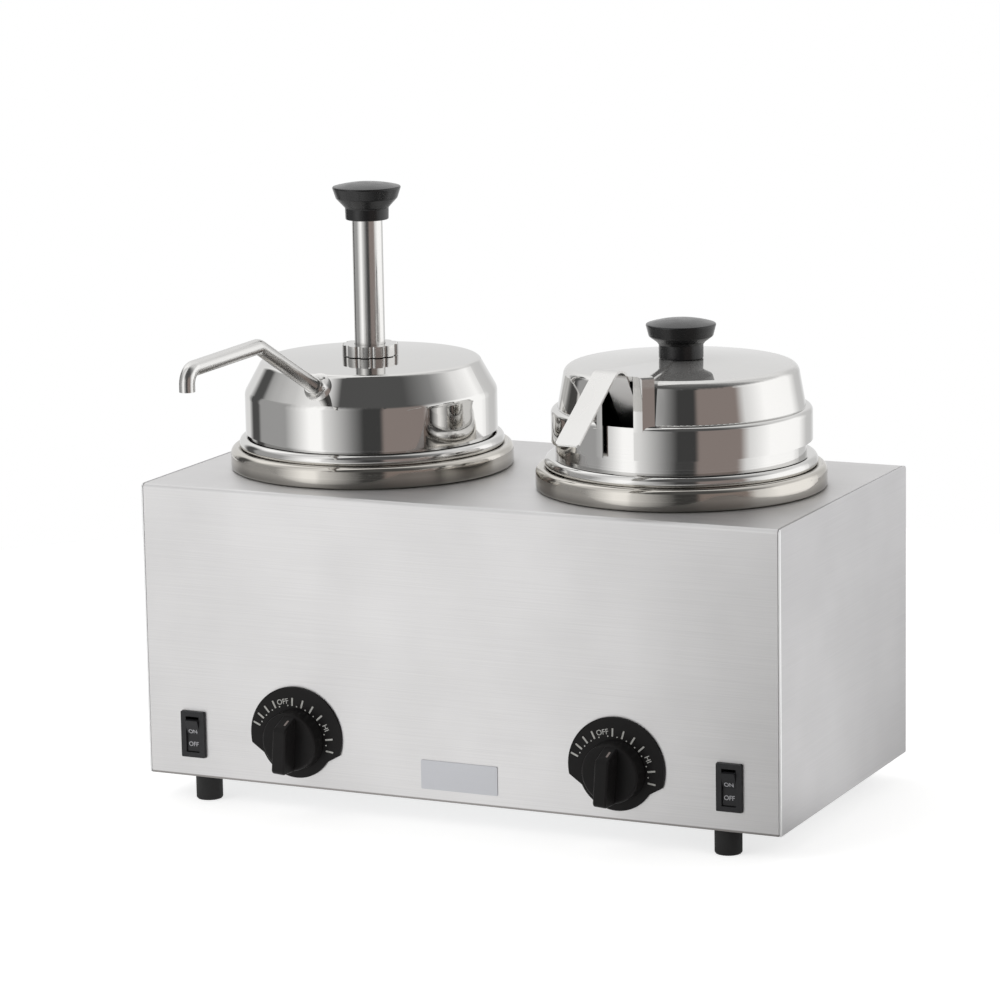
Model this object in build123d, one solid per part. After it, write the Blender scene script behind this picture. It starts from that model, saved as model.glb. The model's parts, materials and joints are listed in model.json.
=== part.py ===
from build123d import *
import math
import os

# Twin-well topping warmer. Millimetres, Z up from the table, the front faces -Y.
# The origin is on the table, under the middle of the whole object's box.

# Housing of brushed sheet
housing_width = 442.2
housing_depth = 226.0
housing_height = 192.0
sheet = 1.0
bend_radius = 3.0
seam_gap = 0.6
flange_depth = 14.0

# Feet under the base
foot_height = 16.0
foot_radius = 8.7
foot_from_side = 38.6
foot_from_front = 9.5
foot_screw_radius = 2.0

# Wells sunk in the deck, with a rolled rim round each
well_spacing = 220.0
well_radius = 84.5
well_wall = 1.0
rim_radius = 93.0
rim_height = 14.5
rim_tuck = 2.2
deck_hole_radius = 90.0
well_depth = 181.5
stud_radius = 3.0

# Jars that hang in the wells by a rolled bead
jar_radius = 80.0
jar_wall = 1.0
jar_depth = 160.0
jar_neck_top = 258.3
jar_corner = 12.0
bead_reach = 7.2
bead_radius = 4.5
bead_middle = 224.95

# Front controls
dial_x = 112.0
dial_up = 32.2
dial_radius = 32.6
dial_rise = 1.5
dial_ends = (-18.0, 191.5)
dial_hub_radius = 25.8
dial_plate = 1.5
knob_radius = 19.6
knob_body = 10.0
knob_height = 23.8
knob_turn = -4.0
bar_width = 9.0
bar_low = -19.2
bar_high = 17.2
shaft_radius = 3.0
bush_radius = 4.7
switch_x = 187.5
switch_up = 28.3
bezel_width = 17.5
bezel_height = 31.0
bezel_proud = 2.2
rocker_tilt = 9.0

# Pump on the left well
pump_lid_top = 281.0
pump_lid_edge = (71.6, 278.7)
pump_lid_shoulder = (82.9, 258.3)
pump_lid_bottom = 231.7
lid_sheet = 1.0
pump_bore = 11.5
pump_tube = 13.5
pump_bottom = 114.0
plunger_radius = 10.0
plunger_wall = 1.2
knob_bottom = 370.3
knob_socket_top = 384.0
collar_radius = 18.5
collar_top = 288.4
collar_flutes = 12
piston_top = 286.4
piston_length = 14.0
spring_wire = 1.8
spring_radius = 9.0
spring_turns = 10

# Spout, as a path of forward reach and height from the pump's axis
spout_radius = 4.9
spout_wall = 0.9
spout_path = ((22.0, 114.0), (22.0, 243.6), (154.6, 309.5), (246.2, 308.4), (246.2, 295.4))
spout_bends = (24.0, 13.0, 9.0)

# Ladle and its lid on the right well; the lid rests turned and a little off the middle
lid_turn = -5.5
lid_shift = 0.7
ladle_lid_top = 290.2
ladle_lid_shoulder = (74.2, 286.3)
ladle_lid_waist = (78.9, 259.9)
ladle_lid_radius = 83.3
ladle_lid_bottom = 238.5
hump_top = 291.2
hump_plan = ((4.0, 16.0), (22.0, 76.5), (6.95, 90.0))
notch_sides = (-12.0, 10.3)
notch_top = 288.2
ladle_shift = 0.9
ladle_width = 16.3
ladle_sheet = 1.5
ladle_corner = (93.7, 299.8)
ladle_slope = 57.5
ladle_droop = 37.2
ladle_grip = 69.8
ladle_bend = 10.0
bowl_radius = 25.0
bowl_wall = 1.0

# Cord gland in the back
gland_x = 160.0
gland_up = 26.0
gland_proud = 14.0
gland_bore = 4.0

# Places that follow from the sizes above
deck_z = foot_height + housing_height
spout_reach = spout_path[-1][0] + spout_radius
rear_reach = housing_depth / 2 + gland_proud
housing_y = (spout_reach - rear_reach) / 2
front_y = housing_y - housing_depth / 2
back_y = housing_y + housing_depth / 2
well_x = well_spacing / 2
well_floor = deck_z + rim_height - well_depth
bowl_rim = jar_neck_top - jar_depth + 0.7 + bowl_radius

SIDES = {"left": -1, "right": 1}


def turned(face):
    """A face drawn as (radius, height), turned about Z."""
    return revolve(Plane.XZ * face, Axis.Z)


def wall_face(line, thickness, side):
    """The section of a sheet that follows a line."""
    return make_face(offset(line, amount=thickness, side=side))


def dome(edge, top):
    """The arc of a round crown, from its edge to the axis."""
    rise = top - edge[1]
    ball = (edge[0] ** 2 + rise**2) / (2 * rise)
    half = edge[0] / 2
    return ThreePointArc(edge, (half, top - ball + math.sqrt(ball**2 - half**2)), (0, top))


def rod(radius, low, high):
    """An upright round rod."""
    return Pos(0, 0, (low + high) / 2) * Cylinder(radius, high - low)


def block(x, y, z):
    """A box between the (low, high) pairs given for X, Y and Z."""
    middle = Pos((x[0] + x[1]) / 2, (y[0] + y[1]) / 2, (z[0] + z[1]) / 2)
    return middle * Box(x[1] - x[0], y[1] - y[0], z[1] - z[0])


def at_well(side):
    """The place of a well's axis."""
    return Pos(side * well_x, housing_y, 0)


def on_front(side, x, up):
    """A plane on the front panel, facing out, for a control at that place."""
    origin = (side * x, front_y, foot_height + up)
    return Plane(origin=origin, x_dir=(1, 0, 0), z_dir=(0, -1, 0))


def foot_places():
    """The four feet, each with its name."""
    x = housing_width / 2 - foot_from_side
    y = housing_depth / 2 - foot_from_front
    for end, depth in (("front", -y), ("rear", y)):
        for name, side in SIDES.items():
            yield f"{end}_{name}_foot", Pos(side * x, housing_y + depth, 0)


def hexagon_nut(across_flats, bore, low, high):
    """An upright hexagon nut."""
    section = RegularPolygon(across_flats / 2, 6, major_radius=False) - Circle(bore)
    return Pos(0, 0, low) * extrude(section, amount=high - low)


def eased(face, corners):
    """A face with its corners rounded, given as (point, radius)."""
    for point, radius in corners:
        face = fillet(face.vertices().sort_by_distance(point)[0], radius)
    return face


# Housing


def housing_line(inset, low):
    """Front, top and back of the housing as one line in the YZ plane."""
    front = front_y + inset
    back = back_y - inset
    top = deck_z - inset
    points = ((front, low), (front, top), (back, top), (back, low))
    return FilletPolyline(*points, radius=bend_radius - inset)


def housing_wrap():
    """Front, deck and back as one bent wall, with its cut-outs."""
    section = wall_face(housing_line(0, foot_height), sheet, Side.RIGHT)
    wrap = extrude(Plane.YZ * section, amount=housing_width / 2 - sheet - seam_gap, both=True)
    for side in SIDES.values():
        wrap -= at_well(side) * rod(deck_hole_radius, deck_z - 5, deck_z + 5)
        wrap -= extrude(on_front(side, dial_x, dial_up) * Circle(bush_radius + 0.2), amount=-5)
        hole = Rectangle(bezel_width - 3.1, bezel_height - 3.6)
        wrap -= extrude(on_front(side, switch_x, switch_up) * hole, amount=-5)
    return wrap - extrude(gland_axis() * Circle(8.2), amount=-5)


def housing_panels():
    """The wall as three sheets that meet at the bends, welded and ground flush."""
    wrap = housing_wrap()
    cuts = (front_y, front_y + bend_radius, back_y - bend_radius, back_y)
    panels = {}
    for name, low, high in zip(("front_panel", "deck_panel", "rear_panel"), cuts, cuts[1:]):
        panels[name] = wrap & block((-housing_width, housing_width), (low, high), (0, 2 * deck_z))
    return panels


def end_panel(side):
    """One end: a plate with a flange that tucks inside the wrap."""
    line = housing_line(0, foot_height)
    outline = make_face([*line.edges(), Line(line @ 1, line @ 0)])
    inner = housing_width / 2 - sheet
    plate = extrude(Plane.YZ.offset(inner) * outline, amount=sheet)
    tuck = wall_face(housing_line(sheet, foot_height + sheet), sheet, Side.RIGHT)
    plate += extrude(Plane.YZ.offset(inner - flange_depth) * tuck, amount=flange_depth)
    return plate if side > 0 else mirror(plate, Plane.YZ)


def base_plate():
    """The base, with a turned-up edge front and back, foot holes and vent slots."""
    half_x = housing_width / 2 - sheet
    half_y = housing_depth / 2 - sheet
    low = foot_height
    plate = block((-half_x, half_x), (housing_y - half_y, housing_y + half_y), (low, low + sheet))
    half_lip = half_x - flange_depth
    for y in (housing_y - half_y, housing_y + half_y - sheet):
        plate += block((-half_lip, half_lip), (y, y + sheet), (low, low + 12))
    for _, place in foot_places():
        plate -= place * rod(foot_screw_radius + 0.2, low - 5, low + 5)
    slots = Sketch() + GridLocations(well_spacing, 12, 2, 7) * SlotOverall(60, 4)
    plate -= extrude(Pos(0, housing_y, low - 1) * slots, amount=sheet + 2)
    return plate


def foot():
    """A rubber foot with a deep recess for its screw."""
    recess = foot_radius / 2
    hole = foot_screw_radius + 0.2
    points = [(recess, 0), (foot_radius - 0.7, 0), (foot_radius, 0.9), (foot_radius, foot_height)]
    points += [(hole, foot_height), (hole, 7), (recess, 7)]
    return turned(make_face(Polyline(*points, close=True)))


def foot_screw():
    """A pan-head screw up through a foot and the base."""
    return rod(2 * foot_screw_radius, 4.2, 7) + rod(foot_screw_radius, 7, 24)


def foot_nut():
    """The nut on a foot screw, inside the base."""
    low = foot_height + sheet
    return hexagon_nut(7, foot_screw_radius + 0.05, low, low + 3.2)


# Wells and heating


def well():
    """A drawn well, welded under its rim."""
    line = FilletPolyline((well_radius, deck_z), (well_radius, well_floor), (0, well_floor), radius=8)
    return turned(wall_face(line, well_wall, Side.LEFT))


def well_rim():
    """The rolled ring round a well, its foot turned in on the deck."""
    top = deck_z + rim_height
    roll = (rim_radius - well_radius) / 2 - 0.01
    points = [(rim_radius - rim_tuck - 0.4, deck_z), (rim_radius, deck_z), (rim_radius, top)]
    points += [(well_radius, top), (well_radius, deck_z)]
    line = FilletPolyline(*points, radius=(rim_tuck, roll, roll))
    return turned(wall_face(line, well_wall, Side.LEFT))


def element_stud():
    """The stud welded under a well's floor."""
    return rod(stud_radius, 22, well_floor - well_wall)


def heating_element():
    """A sheathed rod bent to an open ring under the well, with two terminal ends."""
    ring = 52.0
    thick = 4.0
    height = well_floor - well_wall - thick - 0.05
    gap = 60
    section = Pos(ring, 0, height) * Rot(90, 0, 0) * Circle(thick)
    coil = Rot(0, 0, 90 + gap / 2) * revolve(section, Axis.Z, revolution_arc=360 - gap)
    for turn, lean in ((90 - gap / 2, -90), (90 + gap / 2, 90)):
        end = Rot(0, 0, turn) * Pos(ring, 0, height) * Rot(lean, 0, 0)
        coil += end * (rod(thick, 0, 12) + rod(1.6, 12, 22))
    return coil


def element_clamp():
    """A bar that the stud's nut pulls up against the element."""
    top = well_floor - well_wall - 8.1
    bar = Pos(0, 0, top - 2) * extrude(SlotOverall(126, 22) - Circle(stud_radius + 0.2), amount=2)
    return bar


def element_nut():
    """The nut on a well's stud."""
    top = well_floor - well_wall - 10.1
    return hexagon_nut(10, stud_radius + 0.05, top - 5, top)


# Front controls


def thermostat(side):
    """A control body behind the panel, with its bush through it."""
    face = on_front(side, dial_x, dial_up)
    body = extrude(face.offset(-sheet) * RectangleRounded(36, 38, 3), amount=-21)
    body += extrude(face.offset(-sheet) * Circle(bush_radius), amount=sheet + dial_plate)
    body -= extrude(face.offset(dial_plate) * Circle(shaft_radius + 0.05), amount=-14)
    return body


def thermostat_shaft(side):
    """The shaft that a knob turns, with a flat on its end."""
    face = on_front(side, dial_x, dial_up)
    shaft = extrude(face.offset(-9) * Circle(shaft_radius), amount=9 + dial_plate + 12)
    flat = extrude(face.offset(dial_plate + 1) * Pos(0, shaft_radius + 1.2) * Rectangle(8, 4), amount=15)
    return shaft - flat


def dial_plate_of(side):
    """A flat plate, wider over the top where the scale is."""
    start, end = dial_ends
    wide = CenterArc((0, dial_rise), dial_radius, start, end - start)
    slim = CenterArc((0, 0), dial_hub_radius, end + 14, 360 + start - end - 28)
    outline = make_face([wide, Line(wide @ 1, slim @ 0), slim, Line(slim @ 1, wide @ 0)])
    outline -= Circle(bush_radius + 0.2)
    return extrude(on_front(side, dial_x, dial_up) * outline, amount=dial_plate)


def knob_bar():
    """The bar across a control knob, sloped at its pointer end."""
    low = knob_body / 2
    points = [(bar_low, low), (bar_low + 0.9, knob_height), (bar_high - 5.5, knob_height)]
    points += [(bar_high, knob_body), (bar_high, low)]
    outline = eased(make_face(Polyline(*points, close=True)), ((points[1], 3), (points[2], 4)))
    bar = extrude(Plane.YZ * outline, amount=bar_width / 2, both=True)
    return fillet(bar.faces().sort_by(Axis.Z)[-1].edges().filter_by(Axis.Y), 1.2)


def control_knob(side):
    """A round knob with a bar across it to grip."""
    face = on_front(side, dial_x, dial_up).offset(dial_plate + 0.7)
    knob = extrude(Circle(knob_radius), amount=knob_body, taper=4)
    knob = fillet(knob.faces().sort_by(Axis.Z)[-1].edges(), 1.5) + knob_bar()
    knob -= rod(shaft_radius + 0.02, 0, 11.5)
    return face.location * Rot(0, 0, knob_turn) * knob


def switch_body(side):
    """A switch snapped into the panel: a bezel and a hollow body behind it."""
    face = on_front(side, switch_x, switch_up)
    body = extrude(face * RectangleRounded(bezel_width, bezel_height, 1), amount=bezel_proud, taper=8)
    body += extrude(face * Rectangle(bezel_width - 3.5, bezel_height - 4), amount=-22)
    body -= extrude(face.offset(bezel_proud) * Rectangle(9.6, 23.8), amount=-13)
    pivot = Plane(face.origin + Vector(0, 3, 0), x_dir=(0, 1, 0), z_dir=(1, 0, 0))
    body -= extrude(pivot * Circle(1.25), amount=6.4, both=True)
    for up in (-7, 7):
        body += extrude(face.offset(-22) * Pos(0, up) * Rectangle(6, 0.8), amount=-7)
    return body


def switch_rocker(side):
    """A rocker on two trunnions, resting with its top out."""
    face = on_front(side, switch_x, switch_up)
    pivot = face.origin + Vector(0, 3, 0)
    section = Plane(pivot, x_dir=(0, -1, 0), z_dir=(-1, 0, 0))
    points = [(5.8, 10.6), (3.6, 0), (5.8, -10.6), (1.5, -10.2), (-4, -4), (-4, 4), (1.5, 10.2)]
    rocker = extrude(section * make_face(Polyline(*points, close=True)), amount=4.5, both=True)
    rocker += extrude(section * Circle(1.2), amount=6.2, both=True)
    return rocker.rotate(Axis(pivot, (1, 0, 0)), rocker_tilt)


# Wiring pieces


def terminal_block():
    """A block of six screw terminals on the base."""
    low = foot_height + sheet
    y = back_y - 40
    body = block((-33, 33), (y - 10, y + 10), (low, low + 9))
    body += block((-33, 33), (y - 5, y + 5), (low, low + 17))
    for place in GridLocations(10.5, 1, 6, 1):
        body -= Pos(0, y, 0) * place * rod(2.6, low + 7, low + 18)
    return body


def gland_axis():
    """A plane on the back panel, facing out, at the gland."""
    return Plane(origin=(gland_x, back_y, foot_height + gland_up), z_dir=(0, 1, 0))


def cord_gland():
    """A gland through the back panel, with a domed cap."""
    face = gland_axis()
    gland = extrude(face * RegularPolygon(11, 6), amount=5)
    gland += extrude(face.offset(5) * Circle(9.5), amount=gland_proud - 5, taper=18)
    gland += extrude(face * Circle(8), amount=-12)
    return gland - extrude(face.offset(gland_proud + 1) * Circle(gland_bore), amount=-30)


def cord_gland_nut():
    """The gland's nut inside the panel."""
    section = RegularPolygon(11, 6) - Circle(8.05)
    return extrude(gland_axis().offset(-sheet) * section, amount=-4)


# Jars


def jar():
    """A drawn jar with a rolled bead below its neck."""
    floor = jar_neck_top - jar_depth - jar_wall
    line = FilletPolyline((0, floor), (jar_radius, floor), (jar_radius, jar_neck_top), radius=jar_corner)
    section = Sketch() + wall_face(line, jar_wall, Side.LEFT)
    middle = jar_radius + bead_reach - bead_radius
    section += Pos(middle, bead_middle) * Circle(bead_radius)
    inner = jar_radius - jar_wall / 2
    section += Pos((inner + middle) / 2, bead_middle) * Rectangle(middle - inner, 2 * bead_radius)
    return turned(section)


# Pump


def pump_lid_face():
    """The pump lid's outer form as a solid section."""
    low = pump_lid_bottom
    skirt = (pump_lid_shoulder[0], low)
    wall = Polyline((0, pump_lid_top), (0, low), skirt, pump_lid_shoulder, pump_lid_edge)
    face = make_face([wall, dome(pump_lid_edge, pump_lid_top)])
    return eased(face, ((pump_lid_edge, 4), (pump_lid_shoulder, 8)))


def pump_lid():
    """A domed cover with a sloped shoulder, holed for the pump and its spout."""
    face = pump_lid_face()
    inner = offset(mirror(face, Plane.YZ) + face, amount=-lid_sheet, kind=Kind.INTERSECTION)
    low = pump_lid_bottom - 5
    inner += Pos(0, low + 5) * Rectangle(2 * (pump_lid_shoulder[0] - lid_sheet), 10)
    lid = turned(face) - turned(inner & Pos(60, 250) * Rectangle(120, 120))
    lid -= rod(pump_tube - 1.05, pump_lid_top - 10, pump_lid_top + 5)
    return lid - spout_exit() * rod(spout_radius + 0.3, -30, 30)


def spout_exit():
    """The place where the spout's rising run goes through the lid's shoulder."""
    (low_reach, low), (high_reach, high) = spout_path[1], spout_path[2]
    rise = math.atan2(high - low, high_reach - low_reach)
    reach = 76.1
    height = low + (reach - low_reach) * math.tan(rise)
    return Pos(0, -reach, height) * Rot(90 - math.degrees(rise), 0, 0)


def spout_ferrule():
    """The flared collar where the spout leaves the lid."""
    bore = spout_radius + 0.05
    base = [Line((bore, -9), (10.5, -9)), Line((10.5, -9), (10.5, -1)), Line((bore + 0.8, 8), (bore, 8))]
    flare = ThreePointArc((10.5, -1), (6.6, 3.0), (bore + 0.8, 8))
    section = make_face([base[0], base[1], flare, base[2], Line((bore, 8), (bore, -9))])
    return spout_exit() * turned(section) - turned(pump_lid_face())


def discharge_tube():
    """The tube from the valve up through the lid and out as the spout."""
    points = [(0, -reach, height) for reach, height in spout_path]
    path = FilletPolyline(*points, radius=list(spout_bends))
    start = Plane(origin=points[0], z_dir=(0, 0, 1))
    outer = sweep(start * Circle(spout_radius), path=path)
    inner = sweep(start * Circle(spout_radius - spout_wall), path=path)
    return outer - inner


def pump_cylinder():
    """The pump's barrel, with a flange under the lid and a neck through it."""
    under_lid = pump_lid_top - lid_sheet - 0.25
    barrel = rod(pump_tube, pump_bottom, under_lid) + rod(pump_tube + 4, under_lid - 3, under_lid)
    barrel += rod(pump_tube - 1.2, under_lid, piston_top + 0.1)
    return barrel - rod(pump_bore, pump_bottom - 1, piston_top + 1)


def valve_body():
    """The foot of the pump: an inlet with its ball seat and a port to the spout."""
    low = pump_bottom - 10
    reach = spout_path[0][0]
    body = rod(16, low, pump_bottom) + rod(pump_bore - 0.05, pump_bottom, pump_bottom + 6)
    arm = Pos(0, -reach / 2, low) * Rot(0, 0, 90) * SlotCenterToCenter(reach, 14)
    body += extrude(arm, amount=pump_bottom - low)
    body -= rod(4, low - 1, pump_bottom + 7) + rod(6.5, low + 4, pump_bottom + 7)
    port = Pos(0, -reach, 0) * rod(spout_radius - spout_wall, low + 2, pump_bottom + 1)
    return body - port - Pos(0, 0, low + 6.5) * Rot(90, 0, 0) * rod(2.4, 0, reach)


def valve_ball():
    """The ball that closes the inlet."""
    return Pos(0, 0, pump_bottom - 6 + 4.4) * Sphere(5)


def lock_collar():
    """A fluted ring that holds the pump to the lid and guides the plunger."""
    low = pump_lid_top + 0.3
    ring = Circle(collar_radius) - PolarLocations(collar_radius + 0.9, collar_flutes) * Circle(2.6)
    collar = Pos(0, 0, low) * extrude(ring, amount=collar_top - low)
    collar -= rod(pump_tube - 1.05, low - 1, piston_top + 0.4)
    return collar - rod(plunger_radius + 0.25, low - 1, collar_top + 1)


def plunger_tube():
    """The tube between the knob and the piston."""
    outer = rod(plunger_radius, piston_top, knob_socket_top)
    return outer - rod(plunger_radius - plunger_wall, piston_top - 1, knob_socket_top + 1)


def piston():
    """The piston, with a groove for its seal and a spigot into the tube."""
    low = piston_top - piston_length
    body = rod(pump_bore - 0.15, low, piston_top)
    body -= rod(pump_bore + 1, low + 5, low + 8.4) - rod(pump_bore - 1.9, low + 4, low + 9)
    return body + rod(plunger_radius - plunger_wall - 0.05, piston_top, piston_top + 12)


def piston_seal():
    """The ring in the piston's groove."""
    low = piston_top - piston_length + 5.1
    return rod(pump_bore - 0.04, low, low + 3.2) - rod(pump_bore - 1.85, low - 1, low + 5)


def return_spring():
    """The spring under the piston: half turns, each a tilted arc, end to end."""
    low = pump_bottom + 6 + spring_wire / 2 + 0.1
    high = piston_top - piston_length - spring_wire / 2 - 0.1
    step = (high - low) / (2 * spring_turns)
    arcs = []
    for half in range(2 * spring_turns):
        side = 1 if half % 2 == 0 else -1
        start = (side * spring_radius, 0, low + half * step)
        middle = (0, side * spring_radius, low + (half + 0.5) * step)
        end = (-side * spring_radius, 0, low + (half + 1) * step)
        arcs.append(ThreePointArc(start, middle, end))
    print("spring gap between turns", round(2 * step - spring_wire, 2))
    start = Plane(origin=(spring_radius, 0, low), z_dir=(0, 1, 0))
    return sweep(start * Circle(spring_wire / 2), path=Wire(arcs))


def pump_knob():
    """A flat-topped push knob with a socket for the plunger."""
    socket = plunger_radius + 0.05
    low = knob_bottom
    top = low + 24.4
    side = [(socket, low), (14.1, low), (14.3, low + 7.7), (20.1, low + 13.9), (22.6, low + 21.4)]
    well_top = knob_socket_top + 0.05
    back = Polyline((0, top), (0, well_top), (socket, well_top), side[0])
    face = make_face([Polyline(*side), dome(side[-1], top), back])
    return turned(eased(face, ((side[1], 0.8), (side[2], 2), (side[3], 2), (side[4], 1))))


# Ladle and its lid


def ladle_lid_face(inset, floor):
    """The ladle lid's form as a solid section, inset by a thickness."""
    top = (0, ladle_lid_top - inset)
    shoulder = (ladle_lid_shoulder[0] - inset, ladle_lid_shoulder[1] - inset)
    waist = (ladle_lid_waist[0] - inset, ladle_lid_waist[1] - inset)
    edge = (ladle_lid_radius - inset, waist[1])
    wall = Polyline(shoulder, waist, edge, (edge[0], floor), (0, floor), top)
    face = make_face([dome(shoulder, top[1]), wall])
    return eased(face, ((shoulder, 6 - inset), (edge, 3.6 - inset), (waist, 0.6 + inset)))


def hump(inset):
    """The raised wedge over the notch, narrow at the knob and wide at the rim."""
    right = [(w, -p) for w, p in hump_plan]
    left = [(-w, -p) for w, p in reversed(hump_plan)]
    plan = make_face(Polyline(*right, *left, close=True))
    if inset:
        plan = offset(plan, amount=-inset, kind=Kind.INTERSECTION)
    low = ladle_lid_waist[1] - 8
    body = Pos(0, 0, low) * extrude(plan, amount=hump_top - inset - low)
    body = fillet(body.faces().sort_by(Axis.Z)[-1].edges(), 2.5 - inset)
    return body & rod(ladle_lid_radius - inset, low - 5, hump_top + 5)


def ladle_lid():
    """A stepped cover, notched at the front for the ladle's handle."""
    lid = turned(ladle_lid_face(0, ladle_lid_bottom)) + hump(0)
    lid -= turned(ladle_lid_face(lid_sheet, ladle_lid_bottom - 5)) + hump(lid_sheet)
    lid -= block(notch_sides, (-100, -70), (ladle_lid_bottom - 5, notch_top))
    return lid - rod(2.6, ladle_lid_top - 10, ladle_lid_top + 5)


def lid_knob():
    """The lid's knob: a stem that flares to a domed disc."""
    low = ladle_lid_top + 0.1
    side = [(0, low), (14.2, low), (14.2, low + 8.8), (15.6, low + 10.6)]
    side += [(20.5, low + 14.2), (22.5, low + 21.9)]
    top = low + 25.4
    face = make_face([Polyline(*side), dome(side[-1], top), Line((0, top), side[0])])
    knob = turned(eased(face, ((side[1], 0.8), (side[4], 2), (side[5], 1))))
    return knob - rod(2.45, low - 1, low + 16)


def lid_knob_screw():
    """The screw up through the lid into its knob."""
    under = ladle_lid_top - lid_sheet - 0.05
    return rod(4.5, under - 2.6, under) + rod(2.4, under, under + 14)


def ladle():
    """A bowl on a flat strip that rises through the notch and bends over to a grip."""
    reach, height = ladle_corner
    rise = math.radians(ladle_slope)
    droop = math.radians(ladle_droop)
    foot = reach - (height - bowl_rim + 4) / math.tan(rise)
    bottom = (foot, bowl_rim - 4)
    tip = (reach + ladle_grip * math.cos(droop), height - ladle_grip * math.sin(droop))
    line = FilletPolyline(bottom, ladle_corner, tip, radius=ladle_bend)
    section = Plane(origin=(0, 0, 0), x_dir=(0, -1, 0), z_dir=(-1, 0, 0))
    strip = extrude(section * wall_face(line, ladle_sheet, Side.LEFT), amount=ladle_width / 2, both=True)
    tip_edges = strip.faces().sort_by(Axis.Y)[0].edges()
    strip = fillet(tip_edges.sort_by(SortBy.LENGTH)[:2], 2)
    center = Pos(0, -(foot - bowl_radius + 1.5), bowl_rim)
    below = Pos(0, 0, -bowl_radius) * Box(4 * bowl_radius, 4 * bowl_radius, 2 * bowl_radius)
    bowl = (Sphere(bowl_radius) - Sphere(bowl_radius - bowl_wall)) & below
    whole = (strip - center * Sphere(bowl_radius - bowl_wall)) + center * bowl
    return Pos(ladle_shift, 0, 0) * whole


def main():
    nodes = housing_panels() | {
        "base_plate": base_plate(),
        "foot_screws": [place * foot_screw() for _, place in foot_places()],
        "foot_nuts": [place * foot_nut() for _, place in foot_places()],
        "element_studs": [at_well(side) * element_stud() for side in SIDES.values()],
        "element_nuts": [at_well(side) * element_nut() for side in SIDES.values()],
        "terminal_block": terminal_block(),
        "cord_gland": cord_gland(),
        "cord_gland_nut": cord_gland_nut(),
    }
    for name, place in foot_places():
        nodes[name] = place * foot()
    for name, side in SIDES.items():
        nodes[f"{name}_end_panel"] = end_panel(side)
        nodes[f"{name}_well"] = at_well(side) * well()
        nodes[f"{name}_well_rim"] = at_well(side) * well_rim()
        nodes[f"{name}_heating_element"] = at_well(side) * heating_element()
        nodes[f"{name}_element_clamp"] = at_well(side) * element_clamp()
        nodes[f"{name}_thermostat"] = thermostat(side)
        nodes[f"{name}_thermostat_shaft"] = thermostat_shaft(side)
        nodes[f"{name}_dial_plate"] = dial_plate_of(side)
        nodes[f"{name}_control_knob"] = control_knob(side)
        nodes[f"{name}_switch_body"] = switch_body(side)
        nodes[f"{name}_switch_rocker"] = switch_rocker(side)
        nodes[f"{name}_jar"] = at_well(side) * jar()
    pump = (pump_lid, lock_collar, pump_cylinder, valve_body, valve_ball, discharge_tube, spout_ferrule)
    plunger = (plunger_tube, piston, piston_seal, return_spring, pump_knob)
    for piece in pump + plunger:
        nodes[piece.__name__] = at_well(-1) * piece()
    for piece in (ladle_lid, lid_knob, lid_knob_screw, ladle):
        nodes[piece.__name__] = at_well(1) * Pos(lid_shift, 0, 0) * Rot(0, 0, lid_turn) * piece()
    os.makedirs("parts", exist_ok=True)
    for name, shape in nodes.items():
        solids = Compound(children=shape) if isinstance(shape, list) else shape
        export_step(solids, f"parts/{name}.step")


main()
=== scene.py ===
import json
import math

import bpy
from bpy.props import FloatProperty, FloatVectorProperty, PointerProperty
from mathutils import Matrix, Vector


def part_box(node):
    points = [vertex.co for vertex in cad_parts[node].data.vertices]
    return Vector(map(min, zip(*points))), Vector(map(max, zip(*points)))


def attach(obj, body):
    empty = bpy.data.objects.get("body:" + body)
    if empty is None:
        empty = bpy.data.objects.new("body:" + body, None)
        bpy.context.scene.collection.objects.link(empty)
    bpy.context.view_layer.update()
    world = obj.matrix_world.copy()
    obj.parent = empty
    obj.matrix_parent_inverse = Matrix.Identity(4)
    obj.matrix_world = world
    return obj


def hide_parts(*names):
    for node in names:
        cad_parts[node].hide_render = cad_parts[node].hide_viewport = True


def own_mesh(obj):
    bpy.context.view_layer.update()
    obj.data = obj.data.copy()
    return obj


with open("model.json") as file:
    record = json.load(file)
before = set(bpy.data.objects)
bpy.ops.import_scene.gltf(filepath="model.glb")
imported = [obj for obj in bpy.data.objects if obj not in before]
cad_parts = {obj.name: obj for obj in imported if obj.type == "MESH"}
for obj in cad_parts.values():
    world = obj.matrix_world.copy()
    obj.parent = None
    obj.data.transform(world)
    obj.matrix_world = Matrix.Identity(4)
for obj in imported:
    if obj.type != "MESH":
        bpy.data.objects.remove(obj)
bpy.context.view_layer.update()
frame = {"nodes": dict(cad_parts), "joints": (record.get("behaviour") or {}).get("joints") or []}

bl_info = {
    "name": "Topping Warmer Finish",
    "version": (1, 0, 0),
    "blender": (4, 5, 0),
    "location": "3D View > Sidebar > Warmer",
    "description": "Finishes a twin-well topping warmer and sets it in a plain studio",
    "category": "Object",
}

NODES = frame["nodes"]
JOINTS = {joint["name"]: joint for joint in frame["joints"]}
MM = 0.001
SIDES = ("left", "right")
X, Y, Z = 0, 1, 2

# Places read from the frame
FRONT_Y = float(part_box("front_panel")[0][Y])
WELL_AXES = {side: (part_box(f"{side}_well")[0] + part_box(f"{side}_well")[1]) / 2 for side in SIDES}
DIAL_AXES = {side: Vector(JOINTS[f"{side}_dial_turn"]["pos_m"]) for side in SIDES}
ROCKER_PIVOTS = {side: Vector(JOINTS[f"{side}_rocker_tip"]["pos_m"]) for side in SIDES}
DIAL_FACE_Y = float(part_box("left_dial_plate")[0][Y])

# Most of a noise's values lie between these two.
NOISE_LOW, NOISE_HIGH = 0.3, 0.7
# Steel that is seen almost edge-on mirrors a little less than the shader's default.
EDGE_TINT = (0.82, 0.82, 0.82, 1.0)
# Height of a capital letter as a share of the font's size
CAPITAL_SHARE = 0.7


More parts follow.
